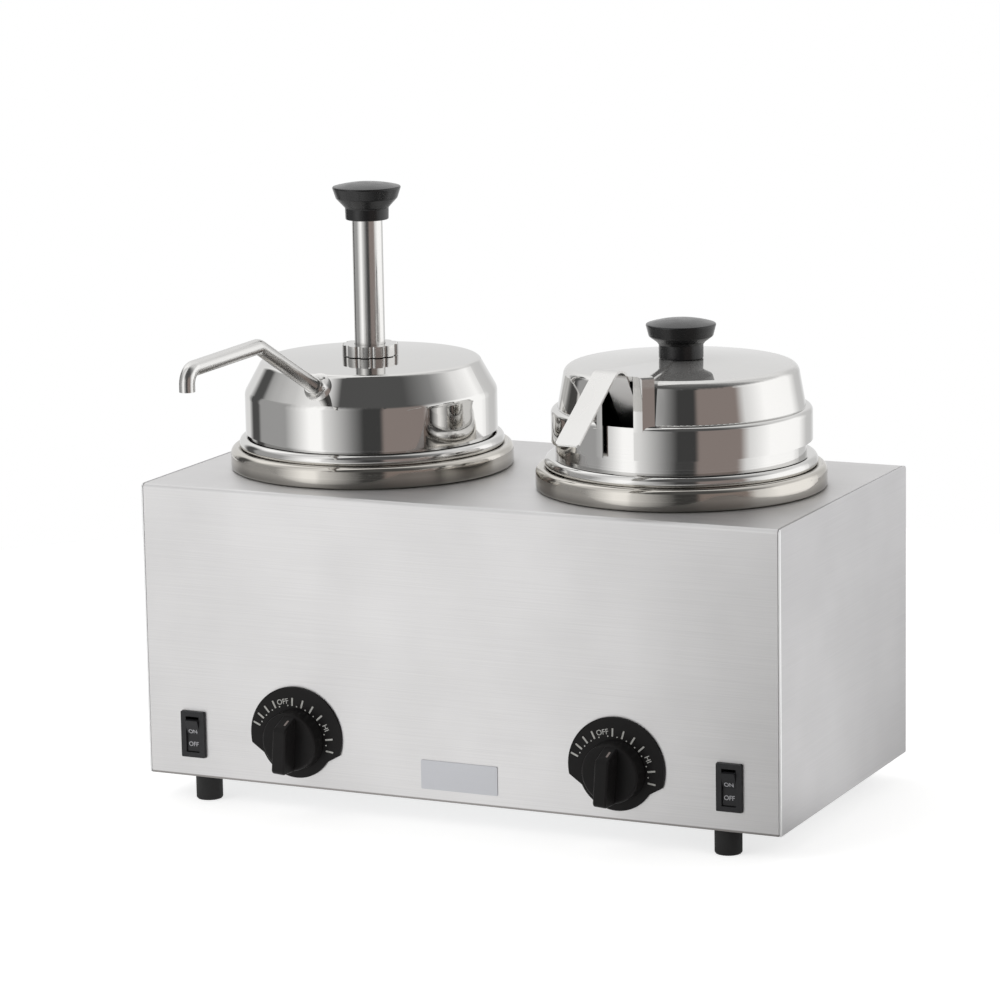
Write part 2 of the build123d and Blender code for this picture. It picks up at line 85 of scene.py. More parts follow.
def linear(hex_colour):
    """An sRGB hex colour as linear red, green and blue."""
    channels = (int(hex_colour[i : i + 2], 16) / 255 for i in (1, 3, 5))
    return tuple(c / 12.92 if c <= 0.04045 else ((c + 0.055) / 1.055) ** 2.4 for c in channels)


def colour(name, description, hex_colour):
    """A colour that the user can change."""
    return FloatVectorProperty(name=name, description=description, subtype="COLOR", size=3, min=0, max=1,
                               default=linear(hex_colour))


def length(name, description, size):
    """A length that the user can change, in metres."""
    return FloatProperty(name=name, description=description, unit="LENGTH", min=0, default=size, precision=5)


def angle(name, description, degrees):
    """An angle that the user can change."""
    return FloatProperty(name=name, description=description, subtype="ANGLE", default=math.radians(degrees))


class WarmerColours(bpy.types.PropertyGroup):
    """Colours of the finishes"""

    brushed_light: colour("Brushed steel, light", "Bright hairlines of the housing", "#DFDEDE")
    brushed_dark: colour("Brushed steel, dark", "Dull hairlines of the housing", "#D3D2D2")
    polished: colour("Polished steel", "Lids, jars, wells, tubes and ladle", "#E4E3E1")
    # The end panels get a darker copy of the housing's steel: painted shade on those sides
    end_light: colour("End steel, light", "Bright hairlines of the end panels", "#CCCBCC")
    end_dark: colour("End steel, dark", "Dull hairlines of the end panels", "#C0BFC0")
    spun: colour("Spun steel", "Rims of the wells, warmed by the heat", "#D4D0C9")
    black_knob: colour("Knob moulding", "Push knob and lid knob of moulded phenolic", "#1A1A1B")
    black_dial: colour("Dial moulding", "Control knobs and the plates behind them", "#1E1D1D")
    black_switch: colour("Switch moulding", "Switch bodies, rockers and gland of nylon", "#2A2A2C")
    print_white: colour("Scale print", "Screen-printed marks on the dials", "#C8C8C4")
    print_grey: colour("Switch print", "Words on the rockers", "#C4C4C8")
    index: colour("Index paint", "Line on each control knob", "#968C88")
    plate: colour("Front plate", "Bare satin plate on the front", "#C0C1C5")
    rubber: colour("Foot rubber", "Feet", "#2A2A2A")


class WarmerSizes(bpy.types.PropertyGroup):
    """Sizes of the printed marks and the front plate"""

    print_height: length("Print thickness", "How far printed marks stand proud", 0.06 * MM)
    tick_length: length("Tick length", "Length of a mark on the dial's scale", 5.3 * MM)
    tick_width: length("Tick width", "Width of a mark on the dial's scale", 1.1 * MM)
    tick_radius: length("Tick radius", "From the scale's middle to a mark's middle", 27.3 * MM)
    dot_size: length("Dot size", "Small marks between the ticks", 0.9 * MM)
    dial_letters: length("Dial letters", "Height of the words on the dial", 3.4 * MM)
    rocker_letters: length("Rocker letters", "Height of the words on the rocker", 2.9 * MM)
    plate_width: length("Plate width", "Bare plate on the front", 53.5 * MM)
    plate_height: length("Plate height", "Bare plate on the front", 19 * MM)
    plate_thickness: length("Plate thickness", "Bare plate on the front", 0.5 * MM)


class StudioSettings(bpy.types.PropertyGroup):
    """Camera and floor"""

    camera_place: FloatVectorProperty(name="Camera place", description="Where the camera stands", precision=4,
                                      subtype="TRANSLATION", default=(1.15007, -2.43064, 0.72505))
    camera_yaw: angle("Yaw", "Turn to the left, seen from above", 25.106)
    camera_pitch: angle("Pitch", "Tilt downwards", 11.004)
    camera_roll: angle("Roll", "Turn about the line of sight", -1.005)
    camera_lens: FloatProperty(name="Lens", description="Focal length in millimetres", default=155.1, min=1)
    camera_sensor: FloatProperty(name="Sensor", description="Sensor width in millimetres", default=36, min=1)
    floor_radius: length("Floor radius", "Round pale floor", 0.95)
    floor_colour: colour("Floor", "Pale floor", "#C6C6C5")


def new_material(name):
    """A new material, with its node tree and main shader."""
    material = bpy.data.materials.new(name)
    material.use_nodes = True
    tree = material.node_tree
    return material, tree, tree.nodes["Principled BSDF"]


def fill(tree, node, inputs):
    """Fills a node's inputs, found by name or number: a socket is linked and a value is set."""
    for key, value in inputs.items():
        if isinstance(value, bpy.types.NodeSocket):
            tree.links.new(value, node.inputs[key])
        else:
            node.inputs[key].default_value = value


def add_node(tree, kind, inputs=None, **settings):
    """Adds a node with its settings and inputs.

    A Map Range node's inputs are its value, 0, the range that it comes from, 1 and 2, and the
    range that it goes to, 3 and 4, which is 0 to 1 where none is given."""
    made = tree.nodes.new(kind)
    for name, value in settings.items():
        setattr(made, name, value)
    fill(tree, made, inputs or {})
    return made


def rgba(rgb, share=1.0):
    """A share of a colour, as the four numbers that a socket takes."""
    return tuple(min(1.0, c * share) for c in rgb) + (1.0,)


def brushed_sheet(name, light, dark, grain_axis, edge=None, rough=(0.34, 0.42)):
    """Belt-brushed sheet metal: hairlines that smear what it mirrors across the grain.

    An edge is an axis, the places on it where the sheet begins to change and has changed, and the
    colour that it changes to, which is painted light along that edge: painted shade or a painted highlight."""
    # Real hairlines are 0.1 to 0.3 mm wide; they are drawn wider here so that they show.
    hairline, stroke, cloud = 0.45 * MM, 70 * MM, 70 * MM
    groove, groove_strength, smear = 0.02 * MM, 0.06, 0.5
    # Hairlines and clouds are two noises, whose sum lies mostly between these two.
    sum_low, sum_high = 0.7, 1.3
    material, tree, shader = new_material(name)
    place = add_node(tree, "ShaderNodeTexCoord").outputs["Object"]
    scale = [1 / hairline] * 3
    scale[grain_axis] = 1 / stroke
    along = add_node(tree, "ShaderNodeMapping", {"Vector": place, "Scale": scale}).outputs[0]
    lines = add_node(tree, "ShaderNodeTexNoise", {"Vector": along, "Scale": 1.0, "Detail": 3.0}).outputs[0]
    clouds = add_node(tree, "ShaderNodeTexNoise",
                      {"Vector": place, "Scale": 1 / cloud, "Detail": 2.0}).outputs[0]
    both = add_node(tree, "ShaderNodeMath", {0: lines, 1: clouds}, operation="ADD").outputs[0]
    tone = add_node(tree, "ShaderNodeMapRange", {0: both, 1: sum_low, 2: sum_high}).outputs[0]
    shade = add_node(tree, "ShaderNodeMix", {"Factor": tone, "A": rgba(dark), "B": rgba(light)},
                     data_type="RGBA").outputs["Result"]
    # Painted light along an edge: its colour is mixed in near the edge
    if edge:
        axis, start, end, edge_colour = edge
        reach = add_node(tree, "ShaderNodeSeparateXYZ", {0: place}).outputs[axis]
        near = add_node(tree, "ShaderNodeMapRange", {0: reach, 1: start, 2: end}).outputs[0]
        shade = add_node(tree, "ShaderNodeMix", {"Factor": near, "A": shade, "B": rgba(linear(edge_colour))},
                         data_type="RGBA").outputs["Result"]
    dull = add_node(tree, "ShaderNodeMapRange",
                    {0: lines, 1: NOISE_LOW, 2: NOISE_HIGH, 3: rough[0], 4: rough[1]}).outputs[0]
    bump = add_node(tree, "ShaderNodeBump",
                    {"Height": lines, "Strength": groove_strength, "Distance": groove}).outputs[0]
    across = add_node(tree, "ShaderNodeTangent", direction_type="RADIAL", axis="XYZ"[grain_axis]).outputs[0]
    fill(tree, shader, {"Base Color": shade, "Metallic": 1.0, "Roughness": dull, "Normal": bump,
                        "Anisotropic": smear, "Tangent": across})
    return material


def polished_stainless(name, tint, rough, crown=None):
    """Buffed stainless: a clear mirror with a faint haze left by the wheel.

    Above the crown's height, if given, a film from handling lifts what is dark in the mirror."""
    haze, hazy_share = 45 * MM, 0.94
    film_rise, metal_under_film = 2 * MM, 0.78
    material, tree, shader = new_material(name)
    place = add_node(tree, "ShaderNodeTexCoord").outputs["Object"]
    clouds = add_node(tree, "ShaderNodeTexNoise",
                      {"Vector": place, "Scale": 1 / haze, "Detail": 4.0}).outputs[0]
    dull = add_node(tree, "ShaderNodeMapRange",
                    {0: clouds, 1: NOISE_LOW, 2: NOISE_HIGH, 3: rough[0], 4: rough[1]}).outputs[0]
    shade = add_node(tree, "ShaderNodeMix", {"Factor": clouds, "A": rgba(tint, hazy_share), "B": rgba(tint)},
                     data_type="RGBA").outputs["Result"]
    fill(tree, shader, {"Base Color": shade, "Metallic": 1.0, "Roughness": dull, "Specular Tint": EDGE_TINT})
    if crown:
        height = add_node(tree, "ShaderNodeSeparateXYZ", {0: place}).outputs[Z]
        bare = add_node(tree, "ShaderNodeMapRange",
                        {0: height, 1: crown, 2: crown + film_rise, 3: 1.0, 4: metal_under_film}).outputs[0]
        fill(tree, shader, {"Metallic": bare})
    return material


def spun_stainless(name, tint, axis, rough, foot=None):
    """Stainless polished on a lathe: rings about its axis, too fine to feel.

    Towards the foot's height, if given, it is painted darker: painted shade near the deck."""
    # Rings are under 0.1 mm apart in the metal; they are drawn at 0.9 mm so that they show.
    ring, ring_share = 0.9 * MM, 0.93
    # Painted shade near the foot: full below the first height above it, gone above the second, and its share
    # of the tint
    dulled_below, clean_above, dulled_share = 3 * MM, 7 * MM, 0.58
    material, tree, shader = new_material(name)
    place = add_node(tree, "ShaderNodeTexCoord").outputs["Object"]
    centred = add_node(tree, "ShaderNodeMapping",
                       {"Vector": place, "Location": (-axis[X], -axis[Y], 0)}).outputs[0]
    apart = add_node(tree, "ShaderNodeSeparateXYZ", {0: centred}).outputs
    flat = add_node(tree, "ShaderNodeCombineXYZ", {0: apart[X], 1: apart[Y]}).outputs[0]
    reach = add_node(tree, "ShaderNodeVectorMath", {0: flat}, operation="LENGTH").outputs["Value"]
    along = add_node(tree, "ShaderNodeMath", {0: reach, 1: apart[Z]}, operation="SUBTRACT").outputs[0]
    rings = add_node(tree, "ShaderNodeTexNoise", {"W": along, "Scale": 1 / ring, "Detail": 2.0},
                     noise_dimensions="1D").outputs[0]
    dull = add_node(tree, "ShaderNodeMapRange",
                    {0: rings, 1: NOISE_LOW, 2: NOISE_HIGH, 3: rough[0], 4: rough[1]}).outputs[0]
    shade = add_node(tree, "ShaderNodeMix", {"Factor": rings, "A": rgba(tint, ring_share), "B": rgba(tint)},
                     data_type="RGBA").outputs["Result"]
    # Painted shade: darker towards the foot
    if foot:
        clean = add_node(tree, "ShaderNodeMapRange",
                         {0: apart[Z], 1: foot + dulled_below, 2: foot + clean_above}).outputs[0]
        shade = add_node(tree, "ShaderNodeMix", {"Factor": clean, "A": rgba(tint, dulled_share), "B": shade},
                         data_type="RGBA").outputs["Result"]
    fill(tree, shader, {"Base Color": shade, "Metallic": 1.0, "Roughness": dull, "Specular Tint": EDGE_TINT})
    return material


def moulded(name, tint, grain, rough, gloss=0.5):
    """A moulding: a fine even grain, with a sheen that varies a little."""
    dark_share, light_share = 0.85, 1.15
    pit, pit_strength = 0.02 * MM, 0.15
    # The sheen varies over twenty grains.
    broad_share = 0.05
    material, tree, shader = new_material(name)
    place = add_node(tree, "ShaderNodeTexCoord").outputs["Object"]
    fine = add_node(tree, "ShaderNodeTexNoise",
                    {"Vector": place, "Scale": 1 / grain, "Detail": 2.0}).outputs[0]
    broad = add_node(tree, "ShaderNodeTexNoise",
                     {"Vector": place, "Scale": broad_share / grain, "Detail": 3.0}).outputs[0]
    dull = add_node(tree, "ShaderNodeMapRange",
                    {0: broad, 1: NOISE_LOW, 2: NOISE_HIGH, 3: rough[0], 4: rough[1]}).outputs[0]
    shade = add_node(tree, "ShaderNodeMix",
                     {"Factor": fine, "A": rgba(tint, dark_share), "B": rgba(tint, light_share)},
                     data_type="RGBA").outputs["Result"]
    bump = add_node(tree, "ShaderNodeBump",
                    {"Height": fine, "Strength": pit_strength, "Distance": pit}).outputs[0]
    fill(tree, shader, {"Base Color": shade, "Roughness": dull, "Normal": bump, "Specular IOR Level": gloss})
    return material


def plain_metal(name, tint, grain, rough):
    """Plated, drawn or galvanised metal: a dull mirror with a soft spangle."""
    dark_share = 0.86
    material, tree, shader = new_material(name)
    place = add_node(tree, "ShaderNodeTexCoord").outputs["Object"]
    grains = add_node(tree, "ShaderNodeTexVoronoi", {"Vector": place, "Scale": 1 / grain}).outputs["Color"]
    tone = add_node(tree, "ShaderNodeSeparateXYZ", {0: grains}).outputs[X]
    dull = add_node(tree, "ShaderNodeMapRange", {0: tone, 3: rough[0], 4: rough[1]}).outputs[0]
    shade = add_node(tree, "ShaderNodeMix", {"Factor": tone, "A": rgba(tint, dark_share), "B": rgba(tint)},
                     data_type="RGBA").outputs["Result"]
    fill(tree, shader, {"Base Color": shade, "Metallic": 1.0, "Roughness": dull})
    return material


def dress(material, *names):
    """Gives CAD nodes a material."""
    for name in names:
        slots = NODES[name].data.materials
        slots.clear()
        slots.append(material)


def begin():
    """Leaves every object deselected, so an operator acts on new work alone."""
    bpy.ops.object.select_all(action="DESELECT")


def rounded_bar(name, size, corner, edge=0):
    """A thin bar about the origin with rounded corners and, if given, eased edges."""
    begin()
    bpy.ops.mesh.primitive_cube_add(size=1)
    bar = bpy.context.object
    bar.name = name
    bar.scale = size
    bpy.ops.object.transform_apply(location=True, rotation=True, scale=True)
    bpy.ops.object.mode_set(mode="EDIT")
    bpy.ops.mesh.select_all(action="DESELECT")
    bpy.ops.object.mode_set(mode="OBJECT")
    for line in bar.data.edges:
        ends = [bar.data.vertices[i].co for i in line.vertices]
        line.select = abs(ends[0].z - ends[1].z) > size[Z] / 2
    bpy.ops.object.mode_set(mode="EDIT")
    bpy.ops.mesh.select_mode(type="EDGE")
    bpy.ops.mesh.bevel(offset=corner, segments=4, affect="EDGES")
    bpy.ops.object.mode_set(mode="OBJECT")
    if edge:
        bevel = bar.modifiers.new("Eased edges", "BEVEL")
        bevel.width = edge
        bevel.segments = 2
        bpy.ops.object.modifier_apply(modifier=bevel.name)
    return bar


def word(name, letters, height, thickness):
    """A printed word about the origin, as a mesh."""
    begin()
    bpy.ops.object.text_add()
    text = bpy.context.object
    text.name = name
    text.data.body = letters
    text.data.size = height / CAPITAL_SHARE
    text.data.align_x = "CENTER"
    text.data.align_y = "CENTER"
    text.data.extrude = thickness / 2
    bpy.ops.object.convert(target="MESH")
    return bpy.context.object


def on_front(x, y, z):
    """Turns a flat piece to face out of the front panel, at a place."""
    return Matrix(((1, 0, 0, x), (0, 0, -1, y), (0, 1, 0, z), (0, 0, 0, 1)))


def copy_at(piece, place):
    """A copy with its own mesh, moved there."""
    other = piece.copy()
    other.data = piece.data.copy()
    other.data.transform(place)
    bpy.context.collection.objects.link(other)
    return other


def joined(name, pieces, material, body):
    """Joins the pieces to one, dresses it and lets it ride on a body."""
    begin()
    for piece in pieces:
        piece.select_set(True)
    bpy.context.view_layer.objects.active = pieces[0]
    if len(pieces) > 1:
        bpy.ops.object.join()
    whole = bpy.context.object
    whole.name = name
    whole.data.materials.clear()
    whole.data.materials.append(material)
    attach(whole, body)
    return whole


class WARMER_OT_housing(bpy.types.Operator):
    """Brushes the housing's sheets, with painted shade on the lower edges and the end panels, and a painted
    highlight on the end panels' front edges
    """

    bl_idname = "warmer.housing"
    bl_label = "Housing"

    # Painted shade along the front's and rear's lower edges, standing in for the shade that a turned-under
    # edge would mirror: heights above the edge, and colour
    hem_start, hem_end, hem_colour = 1.5 * MM, 1.0 * MM, "#959290"
    # Painted highlight along the end panels' eased front edges: distances behind the front, and colour
    lip_start, lip_end, lip_colour = 1.8 * MM, 1.4 * MM, "#F4F4F4"

    def execute(self, context):
        colours = context.scene.warmer_colours
        shades = (colours.brushed_light, colours.brushed_dark)
        end_shades = (colours.end_light, colours.end_dark)
        foot = float(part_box("front_panel")[0][Z])
        # Painted shade along the front's and rear's lower edges
        hem = (Z, foot + self.hem_start, foot + self.hem_end, self.hem_colour)
        # Painted highlight along the end panels' front edges
        lip = (Y, FRONT_Y + self.lip_start, FRONT_Y + self.lip_end, self.lip_colour)
        lengthwise = brushed_sheet("brushed stainless, lengthwise", *shades, X, hem)
        dress(lengthwise, "front_panel", "rear_panel")
        dress(brushed_sheet("brushed stainless, deck", *shades, X, rough=(0.44, 0.52)), "deck_panel")
        # The end panels' darker steel is painted shade
        crosswise = brushed_sheet("brushed stainless, crosswise", *end_shades, Y, lip)
        dress(crosswise, "left_end_panel", "right_end_panel")
        return {"FINISHED"}


class WARMER_OT_vessels(bpy.types.Operator):
    """Polishes the wells, their rims and the jars"""

    bl_idname = "warmer.vessels"
    bl_label = "Wells and jars"

    def execute(self, context):
        colours = context.scene.warmer_colours
        deck = float(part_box("deck_panel")[1][Z])
        # Roughness of a drawn wall and of a buffed one
        drawn, buffed = (0.13, 0.20), (0.07, 0.12)
        for side in SIDES:
            axis = WELL_AXES[side]
            well = spun_stainless(f"spun stainless, {side} well", colours.polished, axis, rough=drawn)
            dress(well, f"{side}_well")
            # The rim is painted darker towards the deck: painted shade
            rim = spun_stainless(f"spun stainless, {side} rim", colours.spun, axis, rough=buffed, foot=deck)
            dress(rim, f"{side}_well_rim")
            jar = spun_stainless(f"spun stainless, {side} jar", colours.polished, axis, rough=buffed)
            dress(jar, f"{side}_jar")
        return {"FINISHED"}


class WARMER_OT_pump(bpy.types.Operator):
    """Polishes the pump's lid, collar, plunger and spout, and finishes its inner parts"""

    bl_idname = "warmer.pump"
    bl_label = "Pump"

    def execute(self, context):
        tint = context.scene.warmer_colours.polished
        mirror = polished_stainless("polished stainless, pump lid", tint, rough=(0.03, 0.06))
        dress(mirror, "pump_lid")
        rubbed = polished_stainless("polished stainless, plunger", tint, rough=(0.14, 0.20))
        dress(rubbed, "lock_collar", "plunger_tube")
        satin = polished_stainless("satin stainless, spout", tint, rough=(0.16, 0.22))
        dress(satin, "discharge_tube", "spout_ferrule")
        acetal = moulded("natural acetal", linear("#E6E5DF"), grain=0.5 * MM, rough=(0.35, 0.45))
        dress(acetal, "pump_cylinder", "valve_body", "piston")
        nitrile = moulded("soft black nitrile", linear("#1C1C1C"), grain=0.4 * MM, rough=(0.55, 0.7))
        dress(nitrile, "piston_seal")
        return {"FINISHED"}


class WARMER_OT_return_coil(bpy.types.Operator):
    """Winds the return spring at one fixed length, though the real one shortens as the plunger goes down, and
    finishes the valve's ball
    """

    bl_idname = "warmer.return_coil"
    bl_label = "Return coil"

    wire = 1.8 * MM
    turns = 10

    def execute(self, context):
        low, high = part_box("return_spring")
        middle = (low + high) / 2
        tall = high.z - low.z
        coil_radius = (high.x - low.x - self.wire) / 2
        begin()
        bpy.ops.mesh.primitive_circle_add(vertices=12, radius=self.wire / 2, rotation=(math.pi / 2, 0, 0),
                                          location=(coil_radius, 0, 0))
        coil = context.object
        bpy.ops.object.transform_apply(location=True, rotation=True, scale=True)
        wound = coil.modifiers.new("Wound", "SCREW")
        wound.screw_offset = (tall - self.wire) / self.turns
        wound.iterations = self.turns
        wound.steps = wound.render_steps = 32
        bpy.ops.object.modifier_apply(modifier=wound.name)
        bpy.ops.object.mode_set(mode="EDIT")
        bpy.ops.mesh.select_all(action="SELECT")
        bpy.ops.mesh.fill_holes(sides=0)
        bpy.ops.mesh.normals_make_consistent(inside=False)
        bpy.ops.object.mode_set(mode="OBJECT")
        bpy.ops.object.shade_smooth()
        coil.data.transform(Matrix.Translation((middle.x, middle.y, low.z + self.wire / 2)))
        steel = plain_metal("bright spring steel", linear("#C4C4C2"), grain=0.6 * MM, rough=(0.18, 0.28))
        dress(steel, "valve_ball")
        coil = joined("return_coil", [coil], steel, "pump_unit")
        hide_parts("return_spring")
        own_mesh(coil)
        return {"FINISHED"}


class WARMER_OT_ladle_set(bpy.types.Operator):
    """Polishes the notched lid and satin-finishes the ladle"""

    bl_idname = "warmer.ladle_set"
    bl_label = "Ladle and lid"

    crown_depth = 8 * MM

    def execute(self, context):
        tint = context.scene.warmer_colours.polished
        crown = float(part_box("ladle_lid")[1][Z]) - self.crown_depth
        mirror = polished_stainless("polished stainless, ladle lid", tint, rough=(0.03, 0.06), crown=crown)
        dress(mirror, "ladle_lid")
        dress(polished_stainless("satin stainless, ladle", tint, rough=(0.22, 0.30)), "ladle")
        return {"FINISHED"}


class WARMER_OT_mouldings(bpy.types.Operator):
    """Finishes the black knobs, dial plates, switches, gland and feet"""

    bl_idname = "warmer.mouldings"
    bl_label = "Mouldings"

    def execute(self, context):
        colours = context.scene.warmer_colours
        glossy = moulded("black phenolic", colours.black_knob, grain=0.35 * MM, rough=(0.22, 0.32))
        dress(glossy, "pump_knob", "lid_knob")
        matt = moulded("matt black phenolic", colours.black_dial, grain=0.35 * MM, rough=(0.32, 0.42),
                       gloss=0.12)
        nylon = moulded("black nylon", colours.black_switch, grain=0.3 * MM, rough=(0.38, 0.48), gloss=0.3)
        for side in SIDES:
            dress(matt, f"{side}_dial_plate", f"{side}_control_knob")
            dress(nylon, f"{side}_switch_body", f"{side}_switch_rocker")
        dress(nylon, "cord_gland", "cord_gland_nut")
        rubber = moulded("black rubber", colours.rubber, grain=0.6 * MM, rough=(0.55, 0.7), gloss=0.25)
        dress(rubber, *(f"{end}_{side}_foot" for end in ("front", "rear") for side in SIDES))
        return {"FINISHED"}


class WARMER_OT_dial_scales(bpy.types.Operator):
    """Prints the scale of ticks, dots and words on each dial plate"""

    bl_idname = "warmer.dial_scales"
    bl_label = "Dial scales"

    steps = range(-1, 11)
    words = {3: "OFF", 8: "HI"}
    # The scale's middle stands a little left of the dial's axis and below it.
    middle = Vector((-3 * MM, -3 * MM, 0))
    # Degrees round from the right: where step 0 stands, a step's size, and how the steps open
    zero_angle, step_angle, opening = 143.6, 13.1, 0.2
    tick_corner, dot_corner = 0.3 * MM, 0.4 * MM

    def turn_at(self, step):
        """The turn of a mark from upright; the steps open towards the hot end."""
        degrees = self.zero_angle - self.step_angle * step - self.opening * step * step
        return math.radians(degrees) - math.pi / 2

    def execute(self, context):
        sizes = context.scene.warmer_sizes
        proud = sizes.print_height
        white = context.scene.warmer_colours.print_white
        paint = moulded("white screen print", white, grain=0.3 * MM, rough=(0.5, 0.6), gloss=0.2)
        tick = rounded_bar("tick", (sizes.tick_width, sizes.tick_length, proud), self.tick_corner)
        dot = rounded_bar("dot", (sizes.dot_size, sizes.dot_size, proud), self.dot_corner)
        marks = []
        for step in self.steps:
            letters = self.words.get(step)
            mark = word("label", letters, sizes.dial_letters, proud) if letters else tick
            marks.append((mark, step, sizes.tick_radius))
            marks.append((dot, step + 0.5, sizes.tick_radius - sizes.tick_length / 2))
        # The scale ends with a tick, so the dot after it goes.
        marks.pop()
        for side in SIDES:
            axis = DIAL_AXES[side]
            face = on_front(axis.x, DIAL_FACE_Y - proud / 2, axis.z) @ Matrix.Translation(self.middle)
            pieces = []
            for mark, step, radius in marks:
                turn = Matrix.Rotation(self.turn_at(step), 4, "Z")
                pieces.append(copy_at(mark, face @ turn @ Matrix.Translation((0, radius, 0))))
            joined(f"{side}_dial_scale", pieces, paint, "warmer_base")
        for mark in {mark for mark, _, _ in marks}:
            bpy.data.objects.remove(mark)
        return {"FINISHED"}


class WARMER_OT_knob_marks(bpy.types.Operator):
    """Paints a pale index line down the sloped end of each knob's bar"""

    bl_idname = "warmer.knob_marks"
    bl_label = "Knob marks"

    size = (1.3 * MM, 5.5 * MM, 0.12 * MM)
    corner, edge = 0.3 * MM, 0.03 * MM
    # The line's middle, right of the knob's axis, up from it and out from the front panel
    right, up, out = 1.4 * MM, 14.6 * MM, 18.7 * MM
    # The slope's lean, and the knob's own turn
    lean, turn = math.radians(-68.3), math.radians(-4)

    def execute(self, context):
        pale = context.scene.warmer_colours.index
        paint = moulded("pale index paint", pale, grain=0.3 * MM, rough=(0.45, 0.55), gloss=0.2)
        line = rounded_bar("index", self.size, self.corner, self.edge)
        middle = Matrix.Translation((self.right, self.up, 0))
        slope = Matrix.Rotation(self.turn, 4, "Z") @ middle @ Matrix.Rotation(self.lean, 4, "X")
        for side in SIDES:
            axis = DIAL_AXES[side]
            place = on_front(axis.x, FRONT_Y - self.out, axis.z) @ slope
            joined(f"{side}_knob_index", [copy_at(line, place)], paint, f"{side}_dial")
        bpy.data.objects.remove(line)
        return {"FINISHED"}


class WARMER_OT_switch_words(bpy.types.Operator):
    """Prints ON and OFF on the two faces of each rocker"""

    bl_idname = "warmer.switch_words"
    bl_label = "Switch words"

    # The rocker's faces: word, distance out from its pivot and up at rest, and lean in degrees
    faces = (("ON", 4.5 * MM, 1.8 * MM, 20.7), ("OFF", 3.88 * MM, -6.7 * MM, -2.7))

    def execute(self, context):
        sizes = context.scene.warmer_sizes
        proud = sizes.print_height
        grey = context.scene.warmer_colours.print_grey
        ink = moulded("grey pad print", grey, grain=0.3 * MM, rough=(0.5, 0.6))
        for side in SIDES:
            pivot = ROCKER_PIVOTS[side]
            pieces = []
            for letters, out, up, lean in self.faces:
                label = word("label", letters, sizes.rocker_letters, proud)
                place = on_front(pivot.x, pivot.y - out, pivot.z + up)
                label.data.transform(place @ Matrix.Rotation(math.radians(lean), 4, "X"))
                pieces.append(label)
            joined(f"{side}_rocker_words", pieces, ink, f"{side}_power_rocker")
        return {"FINISHED"}


class WARMER_OT_front_plate(bpy.types.Operator):
    """Puts the bare satin plate on the front panel"""

    bl_idname = "warmer.front_plate"
    bl_label = "Front plate"

    middle_x, middle_z = 3.3 * MM, 33 * MM
    corner, edge = 0.8 * MM, 0.15 * MM

    def execute(self, context):
        sizes = context.scene.warmer_sizes
        size = (sizes.plate_width, sizes.plate_height, sizes.plate_thickness)
        plate = rounded_bar("front_plate", size, self.corner, self.edge)
        plate.data.transform(on_front(self.middle_x, FRONT_Y - size[Z] / 2, self.middle_z))
        tint = context.scene.warmer_colours.plate
        satin = brushed_sheet("satin aluminium", tint, tint, X)
        joined("front_plate", [plate], satin, "warmer_base")
        return {"FINISHED"}


class WARMER_OT_hidden_parts(bpy.types.Operator):
    """Finishes the base, fasteners, elements and wiring parts"""

    bl_idname = "warmer.hidden_parts"
    bl_label = "Hidden parts"

    def execute(self, context):
        galvanised = plain_metal("galvanised steel", linear("#B4B6B8"), grain=9 * MM, rough=(0.32, 0.5))
        dress(galvanised, "base_plate", "left_element_clamp", "right_element_clamp")
        zinc = plain_metal("bright zinc plate", linear("#C3C4C6"), grain=1.5 * MM, rough=(0.22, 0.34))
        dress(zinc, "foot_screws", "foot_nuts", "element_nuts", "element_studs", "lid_knob_screw")
        dress(zinc, "left_thermostat_shaft", "right_thermostat_shaft")
        sheath = plain_metal("heat-tinted sheath", linear("#5B5552"), grain=4 * MM, rough=(0.4, 0.55))
        dress(sheath, "left_heating_element", "right_heating_element")
        ceramic = moulded("cream steatite", linear("#D9D2C3"), grain=0.6 * MM, rough=(0.45, 0.6))
        dress(ceramic, "left_thermostat", "right_thermostat", "terminal_block")
        return {"FINISHED"}


